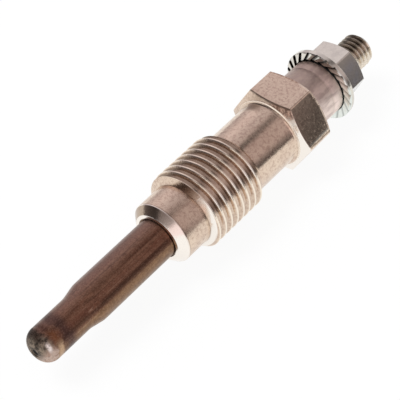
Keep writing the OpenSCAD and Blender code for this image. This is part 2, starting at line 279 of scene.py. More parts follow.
class Turning:
    """Mesh of one piece turned about the axis, gathered as rows of points from tip to stud and back."""

    def __init__(self, angles):
        self.angles = angles
        self.points = []
        self.faces = []

    def band(self, rows, lead_rows=0):
        """Joins rows of (x, r) or (x, r, turn) into a band; a helix goes on lead_rows further round."""
        columns = len(self.angles)
        first = len(self.points)
        for x, r, *turn in rows:
            angles = sum(turn, self.angles)
            self.points.extend(np.stack([x, r * np.cos(angles), r * np.sin(angles) + AXIS_HEIGHT], axis=1))
        for j in range(len(rows) - 1):
            for i in range(columns):
                last = i + 1 == columns
                if last and j + 1 + lead_rows >= len(rows):
                    continue
                here = first + j * columns + i
                neighbour = first + (j + lead_rows) * columns if last else here + 1
                self.faces.append((here, neighbour, neighbour + columns, here + columns))

    def outline(self, corners, steps=4):
        """Adds rows through corners (x, r, rounding, turn); each may differ from column to column."""
        shape = self.angles.shape
        points = []
        for x, r, _, *turn in corners:
            points.append(np.stack([np.broadcast_to(part, shape) for part in (x, r, sum(turn))]))
        rows = [points[0]]
        for before, at, after, corner in zip(points, points[1:], points[2:], corners[1:]):
            rounding = corner[2]
            if not rounding:
                rows.append(at)
                continue
            back, ahead = before - at, after - at
            back_len, ahead_len = np.linalg.norm(back[:2], axis=0), np.linalg.norm(ahead[:2], axis=0)
            cosine = (back * ahead)[:2].sum(axis=0) / (back_len * ahead_len)
            reach = rounding * np.sqrt((1 + cosine) / (1 - cosine))
            start = at + back * np.minimum(reach / back_len, MOST_OF_EDGE)
            end = at + ahead * np.minimum(reach / ahead_len, MOST_OF_EDGE)
            for t in np.linspace(0, 1, steps + 1):
                rows.append((1 - t) ** 2 * start + 2 * t * (1 - t) * at + t ** 2 * end)
        rows.append(points[-1])
        self.band(rows)

    def thread(self, start, end, form, first_crest, limit, lead_in=0.0):
        """Adds a right-hand thread that stays under limit(x), and returns its first and last rows.

        In each column it starts where its form comes out of a steep lead-in of the given length.
        """
        helix = form.pitch * self.angles / (2 * math.pi)
        first = start + first_crest
        inside = np.full_like(helix, start)
        outside = inside + lead_in
        for _ in range(HALVINGS):
            middle = (inside + outside) / 2
            hidden = form.radius(middle - helix - first) > limit(middle)
            inside = np.where(hidden, middle, inside)
            outside = np.where(hidden, outside, middle)
        turns = range(-1, math.ceil((end - first) / form.pitch) + 1)
        steps = [first + form.pitch * turn + step for turn in turns for step in form.steps()]
        rows = []
        for step in steps + [end + form.pitch]:
            x = np.clip(step + helix, outside, end)
            rows.append(np.stack([x, np.minimum(form.radius(x - helix - first), limit(x))]))
        self.band(rows, lead_rows=len(form.steps()))
        return rows[0], rows[-1]

    def piece(self, name, material, replaced, slot):
        """Makes the object in metres, with rounded forms smooth and true edges sharp."""
        mesh = bpy.data.meshes.new(name)
        mesh.from_pydata(np.array(self.points).tolist(), [], self.faces)
        shape = bmesh.new()
        shape.from_mesh(mesh)
        bmesh.ops.remove_doubles(shape, verts=shape.verts, dist=MERGE_DISTANCE)
        bmesh.ops.dissolve_degenerate(shape, edges=shape.edges, dist=THIN_DISTANCE)
        bmesh.ops.scale(shape, vec=(MM, MM, MM), verts=shape.verts)
        shape.to_mesh(mesh)
        shape.free()
        mesh.shade_smooth()
        mesh.set_sharp_from_angle(angle=SHARP_ANGLE)
        mesh.materials.append(material)
        piece = bpy.data.objects.new(name, mesh)
        bpy.context.scene.collection.objects.link(piece)
        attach(piece, "root")
        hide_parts(replaced)


def make_housing(material):
    """Nose with its seat, mounting thread, shank, hexagon and collar, bored through."""
    turning = Turning(column_angles(HOUSING_COLUMNS, beside(HEX_CORNERS, BESIDE_HEX_CORNER)))
    turning.outline([
        (nose_face, SHEATH_R + MOUTH_GAP, 0),
        (nose_face, NOSE_FACE_R, NOSE_FACE_ROUND),
        (seat_rear, NOSE_R, SEAT_ROUND),
        (thread_front, NOSE_R, 0),
    ])
    lead_len = (THREAD_R - NOSE_R) / math.tan(THREAD_LEAD_ANGLE)
    places = (thread_front, thread_front + lead_len, thread_rear - THREAD_CHAMFER, thread_rear)
    radii = (NOSE_R, THREAD_R, THREAD_R, THREAD_R - THREAD_CHAMFER)
    thread_first, thread_last = turning.thread(
        thread_front, thread_rear, MOUNTING_THREAD, THREAD_FIRST_CREST,
        lambda x: np.interp(x, places, radii), lead_len)
    turning.outline([(thread_front, NOSE_R, 0), (*thread_first, 0)])

    at_front = np.abs(turning.angles - math.pi) < math.pi / 6
    corner_round = np.where(at_front, HEX_WORN_ROUND, HEX_CORNER_ROUND)
    hexagon = hexagon_radius(turning.angles, HEX_AF, corner_round)
    fillet = SHOULDER_R - SHANK_R
    crimp_turn = math.degrees(math.acos(1 - CRIMP_DEPTH / CRIMP_ROLL))
    crimp = arc(collar_end - CRIMP_BACK, COLLAR_R - CRIMP_DEPTH + CRIMP_ROLL, CRIMP_ROLL,
                -90 - crimp_turn, -90 + crimp_turn)
    turning.outline([
        (*thread_last, 0),
        (thread_rear, SHANK_R, THREAD_FILLET),
        *arc(shoulder_face - fillet, SHOULDER_R, fillet, *SHANK_FILLET_ANGLES, steps=4),
        (shoulder_face, SHOULDER_R, SHOULDER_ROUND),
        (hex_front, SHOULDER_R, SHOULDER_FILLET),
        (hex_front + (hexagon - SHOULDER_R) * math.tan(HEX_FRONT_ANGLE), hexagon, HEX_EDGE_ROUND),
        (hex_rear - (hexagon - HEX_REAR_R) * math.tan(HEX_REAR_ANGLE), hexagon, HEX_EDGE_ROUND),
        (hex_rear, HEX_REAR_R, HEX_REAR_ROUND),
        (hex_rear, COLLAR_R, COLLAR_FILLET),
        *crimp,
        (collar_end, COLLAR_R, LIP_ROUND),
        (collar_end, SEAL_BORE_R, 0),
        (seal_seat, SEAL_BORE_R, 0),
        (seal_seat, ROD_BORE_R, 0),
        (sheath_end, ROD_BORE_R, 0),
        (sheath_end, SHEATH_R + FIT_GAP, 0),
        (nose_face + MOUTH_DEPTH, SHEATH_R + FIT_GAP, 0),
        (nose_face + MOUTH_DEPTH, SHEATH_R + MOUTH_GAP, 0),
        (nose_face, SHEATH_R + MOUTH_GAP, 0),
    ])
    turning.piece("plated_housing", material, "housing", "nickel_plated_steel")


def make_sheath(material):
    """Closed tube with a swaged, rounded and dimpled tip."""
    turning = Turning(column_angles(SHEATH_COLUMNS))
    ball = (DIMPLE_R ** 2 / DIMPLE_DEPTH + DIMPLE_DEPTH) / 2
    dimple_turn = math.degrees(math.asin(DIMPLE_R / ball))
    floor = tip_end + TIP_WALL
    bore, tip_bore = SHEATH_R - SHEATH_WALL, TIP_R - SHEATH_WALL
    turning.outline([
        *arc(tip_end + DIMPLE_DEPTH - ball, 0, ball, 0, dimple_turn),
        *arc(tip_end + TIP_ROUND, TIP_R - TIP_ROUND, TIP_ROUND, 180, 90, TIP_ROUND_STEPS),
        (taper_front, TIP_R, TAPER_ROUND),
        (taper_rear, SHEATH_R, TAPER_ROUND),
        (sheath_end, SHEATH_R, SHEATH_END_ROUND),
        (sheath_end, bore, 0),
        (taper_rear, bore, 0),
        (taper_front, tip_bore, 0),
        (floor + FLOOR_CHAMFER, tip_bore, 0),
        (floor, tip_bore - FLOOR_CHAMFER, 0),
        (floor, 0, 0),
    ], steps=8)
    turning.piece("heater_tube", material, "heater_sheath", "oxidised_alloy")


def make_terminal_rod(material):
    """Stepped centre rod that ends in a threaded stud."""
    turning = Turning(column_angles(ROD_COLUMNS))
    core_front = coil_high.x + (coil_high.z - coil_low.z) * ROD_CORE_GAP_SHARE
    step = sheath_end + ROD_STEP_GAP
    thread_start = nut_top - NUT_SINK
    turning.outline([
        (rod_low.x, 0, 0),
        (rod_low.x, ROD_END_R, ROD_END_ROUND),
        (core_front, ROD_END_R, 0),
        (core_front, ROD_CORE_R, ROD_CORE_ROUND),
        (step, ROD_CORE_R, 0),
        (step + ROD_STEP_LEN, ROD_R, ROD_STEP_ROUND),
        (nut_seat, ROD_R, 0),
        (nut_seat, ENGAGED_R, 0),
        (thread_start, ENGAGED_R, 0),
    ])
    places = (thread_start, thread_start + STUD_R - ENGAGED_R, stud_end - STUD_CHAMFER, stud_end)
    radii = (ENGAGED_R, STUD_R, STUD_R, STUD_R - STUD_CHAMFER)
    first, last = turning.thread(
        thread_start, stud_end, STUD_THREAD, STUD_FIRST_CREST, lambda x: np.interp(x, places, radii))
    turning.outline([(thread_start, ENGAGED_R, 0), (*first, 0)])
    turning.outline([(*last, 0), (stud_end, 0, 0)])
    turning.piece("threaded_stud", material, "terminal_rod", "terminal_steel")


def make_bush(material):
    """Moulded washer with the sleeve that centres it in the collar."""
    turning = Turning(column_angles(BUSH_COLUMNS))
    bore, sleeve = ROD_R + FIT_GAP, SEAL_BORE_R - FIT_GAP
    turning.outline([
        (bush_low.x, bore, 0),
        (bush_low.x, sleeve, BUSH_SLEEVE_ROUND),
        (collar_end, sleeve, 0),
        (collar_end, BUSH_R, BUSH_ROUND),
        (nut_seat, BUSH_R, BUSH_ROUND),
        (nut_seat, bore, 0),
        (bush_low.x, bore, 0),
    ])
    turning.piece("moulded_bush", material, "insulating_bush", "black_plastic")


def make_nut(material):
    """Hexagon nut on a serrated flange, turned a little from the housing's hexagon."""
    tooth_pitch = 360 / TOOTH_COUNT
    first_tooth = NUT_TURN - 90
    walls = first_tooth + tooth_pitch * np.arange(TOOTH_COUNT)
    extra = beside(walls, BEHIND_TOOTH_WALL) + beside(NUT_TURN + HEX_CORNERS, BESIDE_NUT_CORNER)
    turning = Turning(column_angles(NUT_COLUMNS, extra))
    depth = nut_seat - tooth_tip
    root = nut_seat - TOOTH_ROOT

    def tooth_corner(r, highest=tooth_tip, rounding=0):
        """Serrated face at one radius: behind each wall a slanted groove falls away, then ramps up."""
        lean = math.asin(FLANGE_R * math.sin(TOOTH_SLANT) / r)
        past_wall = (turning.angles - math.radians(first_tooth)) % math.radians(tooth_pitch)
        past_wall = past_wall * r * math.cos(lean)
        ramp = root - past_wall * (root - tooth_tip) / GROOVE_W
        face = np.where(past_wall < GROOVE_W, ramp, tooth_tip)
        return np.maximum(face, highest), r, rounding, TOOTH_SLANT - lean

    hexagon = hexagon_radius(turning.angles, NUT_AF, NUT_CORNER_ROUND, math.radians(NUT_TURN))
    rim_top = nut_seat + FLANGE_RIM
    bore = ENGAGED_R + FIT_GAP
    turning.outline([
        (nut_seat, bore, 0),
        (nut_seat, TOOTH_RING_R, 0),
        tooth_corner(TOOTH_RING_R + depth),
        tooth_corner(FLANGE_R - depth),
        tooth_corner(FLANGE_R - depth / 2),
        tooth_corner(FLANGE_R, tooth_tip + depth / 2, TOOTH_ROUND),
        (rim_top, FLANGE_R, FLANGE_ROUND),
        (rim_top + (FLANGE_R - hexagon) * math.tan(FLANGE_ANGLE), hexagon, FLANGE_ROUND),
        (nut_top - (hexagon - NUT_FACE_R) * math.tan(NUT_CHAMFER_ANGLE), hexagon, NUT_EDGE_ROUND),
        (nut_top, NUT_FACE_R, NUT_EDGE_ROUND),
        (nut_top, bore + NUT_SINK, NUT_SINK_ROUND),
        (nut_top - NUT_SINK, bore, 0),
        (nut_seat, bore, 0),
    ])
    turning.piece("serrated_nut", material, "flange_nut", "zinc_plated_steel")


class Value:
    """A shader socket that takes part in Python arithmetic; each operation adds a Math node."""

    def __init__(self, graph, socket):
        self.graph = graph
        self.socket = socket

    def __add__(self, other):
        return self.graph.math("ADD", self, other)

    def __radd__(self, other):
        return self.graph.math("ADD", other, self)

    def __sub__(self, other):
        return self.graph.math("SUBTRACT", self, other)

    def __rsub__(self, other):
        return self.graph.math("SUBTRACT", other, self)

    def __mul__(self, other):
        return self.graph.math("MULTIPLY", self, other)

    def __rmul__(self, other):
        return self.graph.math("MULTIPLY", other, self)

    def __truediv__(self, other):
        return self.graph.math("DIVIDE", self, other)

    def __rtruediv__(self, other):
        return self.graph.math("DIVIDE", other, self)

    def __pow__(self, other):
        return self.graph.math("POWER", self, other)

    def __rpow__(self, other):
        return self.graph.math("POWER", other, self)


class Graph:
    """Node tree of a material or of the world."""

    def __init__(self, tree):
        self.tree = tree

    def node(self, kind, settings, inputs, output=0):
        """Adds a node: its settings first, then the values or links of its sockets."""
        node = self.tree.nodes.new("ShaderNode" + kind)
        for name, value in settings.items():
            if name == "stops":
                self.set_stops(node.color_ramp.elements, value)
            else:
                setattr(node, name, value)
        for name, value in inputs.items():
            self.feed(node.inputs[name], value)
        return Value(self, node.outputs[output])

    def feed(self, socket, value):
        """Links a value to a socket, or sets the socket to a constant."""
        if isinstance(value, Value):
            self.tree.links.new(value.socket, socket)
        elif socket.type == "RGBA":
            socket.default_value = (*value, 1)
        else:
            socket.default_value = value

    @staticmethod
    def set_stops(elements, stops):
        """Sets the places and colours of a ramp."""
        while len(elements) < len(stops):
            elements.new(1)
        for element, (place, colour) in zip(elements, stops):
            element.position = place
            element.color = (*colour, 1)

    def math(self, operation, *values):
        """Adds a Math node on values or numbers."""
        return self.node("Math", {"operation": operation}, dict(enumerate(values)))

    def blend(self, share, first, second):
        """Mix of two colours; a share of 1 is all of the second."""
        settings = {"data_type": "RGBA", "clamp_factor": True}
        return self.node("Mix", settings, {0: share, 6: first, 7: second}, 2)

    def rise(self, value, low, high):
        """Smooth step from 0 at low to 1 at high."""
        settings = {"interpolation_type": "SMOOTHSTEP"}
        return self.node("MapRange", settings, {"Value": value, "From Min": low, "From Max": high})

    def fall(self, value, low, high):
        """Smooth step from 1 at low to 0 at high."""
        return 1 - self.rise(value, low, high)

    def between(self, value, start, end):
        """1 from a soft start to a soft end, each a pair of values, and 0 outside them."""
        return self.rise(value, *start) * self.fall(value, *end)

    def peak(self, value, middle, half_width):
        """Smooth hump of height 1 round a middle value."""
        return self.fall(self.math("ABSOLUTE", value - middle), 0, half_width)

    def noise(self, point, scale, detail=2.0, roughness=0.5, stretch=(1, 1, 1)):
        """Noise between 0 and 1, with a scale in cells to the millimetre along each axis."""
        stretched = self.node("VectorMath", {"operation": "MULTIPLY"}, {0: point, 1: stretch})
        sockets = {"Vector": stretched, "Scale": scale, "Detail": detail, "Roughness": roughness}
        return self.node("TexNoise", {}, sockets)


# Directions across the plug as the camera sees it, by their parts along Y and Z
UPWARD = (0.84, 0.54)
NEARWARD = (-0.54, 0.84)


class Finish(Graph):
    """Node material round one Principled shader, whose colour and roughness are built up in layers."""

    def __init__(self, name, metallic, colour, roughness):
        self.material = bpy.data.materials.new(name)
        self.material.use_nodes = True
        super().__init__(self.material.node_tree)
        self.metallic = metallic
        self.colour = colour
        self.roughness = roughness
        here = self.node("TexCoord", {}, {}, "Object")
        sockets = {0: here, 1: (1 / MM,) * 3, 2: (0, 0, -AXIS_HEIGHT)}
        self.point = self.node("VectorMath", {"operation": "MULTIPLY_ADD"}, sockets)
        self.x, self.y, self.z = (self.node("SeparateXYZ", {}, {0: self.point}, axis) for axis in "XYZ")
        self.radius = (self.y * self.y + self.z * self.z) ** 0.5
        self.upward = self.across(UPWARD)

    def across(self, direction):
        """Distance from the axis in a direction across the plug."""
        along_y, along_z = direction
        return along_y * self.y + along_z * self.z

    def lay(self, share, colour):
        """Lays a colour over what is there; a share of 1 hides it."""
        self.colour = self.blend(share, self.colour, colour)

    def roughen(self, amount):
        """Adds to the roughness."""
        self.roughness = self.roughness + amount

    def coat(self, height, depth):
        """Feeds the shader, with a bump of a depth in millimetres, and gives the material."""
        bump = self.node("Bump", {}, {"Height": height, "Distance": depth * MM})
        sockets = self.tree.nodes["Principled BSDF"].inputs
        self.feed(sockets["Base Color"], self.colour)
        self.feed(sockets["Metallic"], self.metallic)
        self.feed(sockets["Roughness"], self.roughness)
        self.feed(sockets["Normal"], bump)
        return self.material


# In all finishes, limits on x, y, z, the radius and upward are in millimetres, and limits on a noise
# are values between 0 and 1

# Nickel plate, from clean metal to grime, with painted highlights, reflections, shade and a shadow
NICKEL = (0.78, 0.63, 0.50)
NICKEL_STAIN = (0.72, 0.565, 0.45)
NICKEL_PIT = (0.42, 0.30, 0.23)
NICKEL_SPECKLE = (0.53, 0.39, 0.31)
NICKEL_HIGHLIGHT = (0.95, 0.89, 0.82)
NICKEL_GLINT = (0.98, 0.87, 0.74)
COLLAR_LIT = (0.90, 0.76, 0.69)
COLLAR_SHADED = (0.56, 0.45, 0.38)
COLLAR_STREAK = (0.40, 0.30, 0.27)
COLLAR_SPECKLE = (0.44, 0.34, 0.32)
CRIMP_SHADE = (0.14, 0.10, 0.085)
CONE_SHADE = (0.34, 0.24, 0.17)
CONE_EDGE = (0.12, 0.08, 0.06)
RUST_DARK = (0.17, 0.075, 0.048)
RUST_PALE = (0.74, 0.52, 0.41)
SHANK_SHADOW = (0.17, 0.12, 0.08)
REAR_RUST = (0.30, 0.17, 0.12)
FLAT_TAN = (0.95, 0.78, 0.62)
FLAT_SPECKLE = (0.30, 0.20, 0.15)
CORNER_BENCH_REFLECTION = (0.95, 0.86, 0.74)
CORNER_SHADOW_REFLECTION = (0.13, 0.09, 0.06)
THREAD_GRIME_AND_SHADE = (0.175, 0.112, 0.072)
CREST_HIGHLIGHT = (0.93, 0.83, 0.70)
FLANK_HIGHLIGHT = (0.96, 0.90, 0.83)
SEAT_SHADE = (0.34, 0.26, 0.19)
LEAD_SHADE = (0.26, 0.17, 0.12)
CREASE_SHADE = (0.22, 0.15, 0.12)
# Limits on y of the two front flats of the hexagon, and of the worn corner between them
FRONT_FLATS = (-3.6, -3.4)
FRONT_CORNER = (-6.4, -6.2)


class NickelPlate(Finish):
    """Warm satin nickel with fine pits, stains and speckles, and a mask of painted shade that grows
    towards the top.
    """

    def __init__(self):
        super().__init__("nickel_plate", 1.0, NICKEL, 0.1)
        self.pits = self.noise(self.point, 3.4, 4, 0.65)
        self.stains = self.noise(self.point, 0.5, 3)
        self.speckle = self.noise(self.point, 2.2, 4, 0.7)
        # Painted shade: a mask that grows towards the top, which darkens upper sides and keeps painted
        # highlights below
        self.top_shade = self.rise(self.upward, -2, 3)
        pitted = self.rise(self.pits, 0.55, 0.7)
        self.lay(self.rise(self.stains, 0.35, 0.7), NICKEL_STAIN)
        self.lay(pitted * 0.5, NICKEL_PIT)
        self.lay(self.rise(self.speckle, 0.46, 0.62) * 0.75, NICKEL_SPECKLE)
        self.roughen(0.08 * self.stains + 0.14 * pitted)

    def dull_shaded_collar(self):
        """Dull drawn collar, with a lit copy of its colour below and a shaded one above as painted shade,
        and painted shade in the upper part of its crimp.
        """
        collar = self.rise(self.x, hex_rear - 0.1, hex_rear + 0.1)
        drawn = self.noise(self.point, 1.2, 3, 0.6, (0.3, 1, 1))
        # Painted shade: a lit copy of the collar's colour below and a shaded copy above
        dull = self.blend(self.top_shade, COLLAR_LIT, COLLAR_SHADED)
        dull = self.blend(self.rise(drawn, 0.45, 0.65) * 0.45, dull, COLLAR_STREAK)
        dull = self.blend(self.rise(self.speckle, 0.42, 0.62) * self.top_shade * 0.45, dull, COLLAR_SPECKLE)
        self.lay(collar, dull)
        self.roughen(0.3 * collar)
        # Painted shade along the crimp groove, on its upper part only
        crimp = self.peak(self.x, collar_end - CRIMP_BACK, 0.2)
        crimp = crimp * self.rise(self.upward + (self.speckle - 0.5) * 3, 0.5, 3.5)
        self.lay(crimp * 0.7, CRIMP_SHADE)

    def cone_rust_and_light(self):
        """Cone before the hexagon, rusty on top, with painted highlights below and on the ring, painted
        shade near the top and a painted shadow before the ring.
        """
        past_cone = self.x - hex_front - (self.radius - SHOULDER_R) * math.tan(HEX_FRONT_ANGLE)
        past_face = self.rise(self.x, shoulder_face - 0.1, shoulder_face)
        cone = past_face * self.fall(past_cone, 0, 0.08)
        cone = cone * self.rise(self.radius, SHOULDER_R - 0.15, SHOULDER_R - 0.05)
        # Painted highlight on the lower side of the cone
        self.lay(cone * (1 - self.top_shade), NICKEL_HIGHLIGHT)
        # Painted shade near the top of the cone
        self.lay(cone * self.peak(self.upward, 4.4, 1.6) * 0.5, CONE_SHADE)
        rusty = self.rise(self.z + (self.speckle - 0.5) * 3, HEX_AF / 2 - 2.0, HEX_AF / 2 - 1.0)
        rusty = cone * rusty * self.fall(self.y, -1.5, 1)
        rust = self.blend(self.rise(self.speckle, 0.46, 0.56), RUST_DARK, RUST_PALE)
        self.lay(rusty * 0.85, rust)

        # Painted highlight on the shoulder ring
        ring = self.rise(self.radius, SHOULDER_R - 0.1, SHOULDER_R - 0.03) * past_face
        ring = ring * self.fall(self.x, hex_front - 0.08, hex_front - 0.02)
        self.lay(ring, NICKEL_GLINT)
        # Painted shadow on the upper shank in front of the shoulder
        shadow_before_ring = self.rise(self.x, shoulder_face - 1.9, shoulder_face - 0.9) * (1 - ring)
        shadow_before_ring = shadow_before_ring * self.fall(self.x, shoulder_face - 0.2, shoulder_face)
        self.lay(shadow_before_ring * self.peak(self.upward, 4.0, 1.6) * 0.8, SHANK_SHADOW)
        edge = self.rise(self.z + (self.speckle - 0.5) * 0.5, HEX_AF / 2 - 0.4, HEX_AF / 2 - 0.1)
        self.lay(cone * edge * 0.85, CONE_EDGE)
        self.roughen(0.4 * cone * (1 - rusty) * self.peak(self.upward, 0.9, 2.0) + 0.4 * ring)
        pale = 0.6 * cone * self.peak(self.upward, -1.3, 1.3)
        self.metallic = 1 - self.math("MAXIMUM", pale, 0.4 * rusty + 0.4 * ring)

    def hexagon_rust_and_light(self):
        """Rear edge of the hexagon, rusty above with a painted glint below, and front flats with a worn
        corner that carries a painted reflection of the bench and of the plug's shadow.
        """
        to_rear = hex_rear - (self.radius - HEX_REAR_R) * math.tan(HEX_REAR_ANGLE) - self.x
        rear_edge = self.peak(to_rear, 0.1, 0.3) * self.rise(self.radius, HEX_REAR_R, HEX_REAR_R + 0.2)
        rear_edge = rear_edge * self.rise(self.speckle, 0.36, 0.5)
        upper = self.rise(self.upward, 1.5, 2.5)
        self.lay(rear_edge * upper * 0.7, REAR_RUST)
        # Painted glint along the lower part of the rear edge
        edge_glint = rear_edge * (1 - upper)
        self.lay(edge_glint, NICKEL_GLINT)
        self.roughen(0.5 * edge_glint)

        flats = self.between(self.x, (hex_front + 0.5, hex_front + 0.8), (hex_rear - 0.6, hex_rear - 0.3))
        front = flats * self.fall(self.y, *FRONT_FLATS)
        self.lay(front * 0.5, FLAT_TAN)
        self.lay(front * self.rise(self.speckle, 0.44, 0.58) * 0.35, FLAT_SPECKLE)
        corner = flats * self.fall(self.y, *FRONT_CORNER)
        off_corner = self.z + (self.stains - 0.5) * 0.6
        # Painted reflection on the worn corner: a pale band of the bench and a dark line of the plug's
        # shadow
        self.lay(corner * self.peak(off_corner, 0.62, 0.25), CORNER_BENCH_REFLECTION)
        self.lay(corner * self.peak(off_corner, 0.22, 0.25) * 0.8, CORNER_SHADOW_REFLECTION)

    def thread_grime_and_light(self):
        """Mounting thread with grime and painted shade in its root, a painted highlight on its worn crests
        and painted highlights on the flanks towards the camera.
        """
        threaded = self.between(
            self.x, (thread_front + 0.25, thread_front + 0.4), (thread_rear - 0.3, thread_rear))
        root = self.fall(self.radius, THREAD_R - 0.25, THREAD_R - 0.06)
        low_side = self.peak(self.upward, -1.9, 1.5)
        # Grime in the root, with painted shade that grows towards the top and in a band low on the near
        # side
        grime_and_shade = root * threaded * (0.12 + 0.6 * self.rise(self.upward, -1, 4) + 0.6 * low_side)
        self.lay(grime_and_shade, THREAD_GRIME_AND_SHADE)
        self.roughen(0.15 * grime_and_shade)
        crest = self.rise(self.radius, THREAD_R - 0.12, THREAD_R - 0.03) * threaded
        # Painted highlight along the worn crests, dimmer towards the top
        self.lay(crest * (0.9 - 0.3 * self.top_shade), CREST_HIGHLIGHT)
        flank = self.rise(self.radius, THREAD_R - 0.22, THREAD_R - 0.08) * threaded
        # Painted highlight on the flanks low on the near side
        self.lay(flank * low_side * 0.85, FLANK_HIGHLIGHT)

    def nose_light_and_shade(self):
        """Seat and lead-in of the thread, with painted highlights below and painted shade above, painted
        shade in creases and painted highlights along edges.
        """
        seat = self.fall(self.x, seat_rear - 0.1, seat_rear)
        lead = self.between(
            self.x, (thread_front - 0.05, thread_front + 0.05), (thread_front + 0.3, thread_front + 0.4))
        # Painted shade on the upper seat and lead-in, and painted highlights on their lower sides
        self.lay(seat * self.top_shade * 0.7, SEAT_SHADE)
        self.lay(lead * self.peak(self.upward, 2.0, 2) * 0.7, LEAD_SHADE)
        self.lay(seat * (1 - self.top_shade) + lead * self.fall(self.upward, -1.3, 1.0), NICKEL_HIGHLIGHT)
        # Painted shade in the creases behind the seat and before the thread
        creases = self.peak(self.x, seat_rear + 0.16, 0.12) + self.peak(self.x, thread_front - 0.04, 0.1)
        self.lay(creases * 0.5, CREASE_SHADE)
        # Painted highlights along the rear edge of the seat and along the nose face
        edge_glint = self.peak(self.x, seat_rear, 0.12) * 0.8 + self.fall(self.x, nose_face, nose_face + 0.08)
        self.lay(edge_glint, NICKEL_HIGHLIGHT)
        nose = self.between(self.x, (seat_rear, seat_rear + 0.2), (thread_front - 0.1, thread_front + 0.1))
        self.roughen(0.1 * nose + 0.4 * lead * self.peak(self.upward, 0.2, 2.6))


def nickel_plate():
    """Plating of the housing, stained, rusty and grimy, with painted light and shade, from the collar to
    the nose.
    """
    finish = NickelPlate()
    finish.dull_shaded_collar()
    finish.cone_rust_and_light()
    finish.hexagon_rust_and_light()
    finish.thread_grime_and_light()
    finish.nose_light_and_shade()
    return finish.coat(finish.pits, 0.012)


# Oxidised alloy: the tube, its heat tints and its end with soot, with painted reflections, sheen, shade
# and a glint
OXIDE = (0.185, 0.083, 0.052)
OXIDE_STREAK = (0.25, 0.13, 0.083)
OXIDE_LINE = (0.085, 0.037, 0.024)
OXIDE_PALE_LINE = (0.44, 0.29, 0.21)
OXIDE_LOW_REFLECTION = (0.31, 0.195, 0.095)
OXIDE_SHADE_BAND = (0.06, 0.026, 0.017)
OXIDE_MOTTLE = (0.09, 0.042, 0.028)
OXIDE_TOP_SHEEN = (0.27, 0.19, 0.165)
OXIDE_GRAIN = (0.06, 0.03, 0.02)
OXIDE_PALE_GRAIN = (0.42, 0.28, 0.20)
TINT_VIOLET = (0.075, 0.04, 0.036)
TINT_BROWN = (0.22, 0.09, 0.042)
TINT_STRAW_REFLECTION = (0.56, 0.38, 0.24)
TINT_SHADE = (0.055, 0.022, 0.017)
SOOT = (0.06, 0.05, 0.04)
SOOT_PALE = (0.32, 0.26, 0.20)
SOOT_TOP_SHADE = (0.03, 0.017, 0.013)
TIP_PALE_REFLECTION = (0.64, 0.50, 0.42)
TIP_BROWN = (0.42, 0.27, 0.21)
TIP_GLINT = (0.95, 0.90, 0.85)
TIP_PIT = (0.01, 0.008, 0.007)
# Middle and half size of a painted glint on the near side of the rounded tip: from its end, and upward
GLINT_FROM_END = (1.0, 0.4)
GLINT_UPWARD = (-0.75, 0.95)


